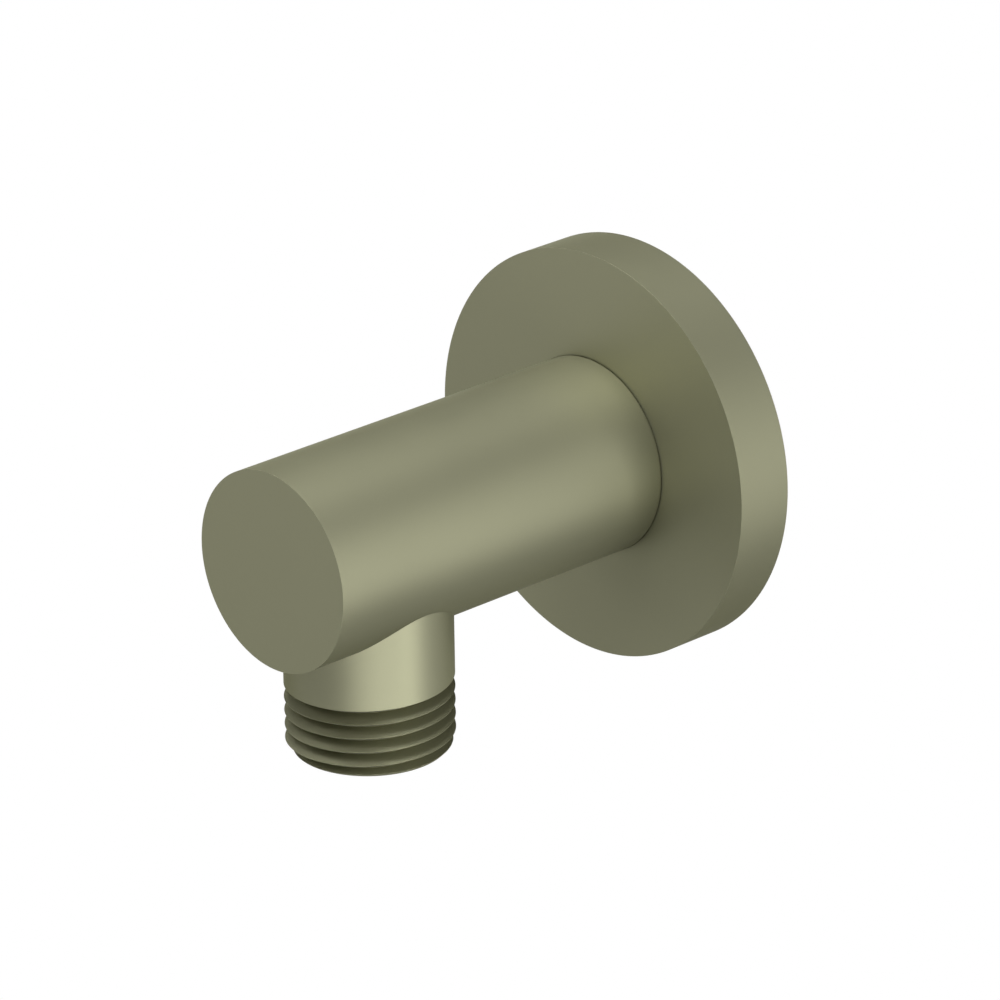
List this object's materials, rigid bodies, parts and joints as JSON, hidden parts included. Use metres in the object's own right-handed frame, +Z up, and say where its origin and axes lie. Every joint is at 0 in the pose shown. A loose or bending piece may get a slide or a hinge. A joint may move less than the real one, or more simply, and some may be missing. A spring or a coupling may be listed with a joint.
{
  "type": "wall outlet elbow",
  "caption": "Round wall outlet elbow for a hand shower hose: level closed body, sliding round cover plate, down-facing threaded outlet with a non-return valve.",
  "frame": {"origin": "where the body's axis meets the wall, in the plane of the cover plate's rear rim", "axes": "+Z up; +Y into the wall along the body's axis, so the closed front faces -Y; the outlet points down, along -Z"},
  "size_m": [0.053, 0.0612, 0.0539],
  "materials": {
    "olive_coat": "satin",
    "black_rubber": "matte",
    "white_plastic": "satin",
    "blue_plastic": "satin",
    "stainless_wire": "satin"
  },
  "bodies": {
    "elbow": {"elbow_body": "olive_coat", "check_valve_housing": "white_plastic", "check_valve_guide": "white_plastic", "check_valve_spring": "stainless_wire", "check_valve_o_ring": "black_rubber"},
    "cover_plate": {"escutcheon": "olive_coat", "escutcheon_o_ring": "black_rubber"},
    "valve_disc": {"check_valve_poppet": "blue_plastic", "check_valve_lip_seal": "black_rubber"}
  },
  "joints": [
    {"name": "cover_plate_slide", "type": "slide", "parent": "elbow", "child": "cover_plate", "axis": [0, -1, 0], "range_m": [0, 0.027]},
    {"name": "valve_opening", "type": "slide", "parent": "elbow", "child": "valve_disc", "axis": [0, 0, -1], "range_m": [0, 0.0025], "stiffness_N_per_m": 150, "springref_m": -0.0022, "deforming": ["check_valve_spring"]}
  ]
}
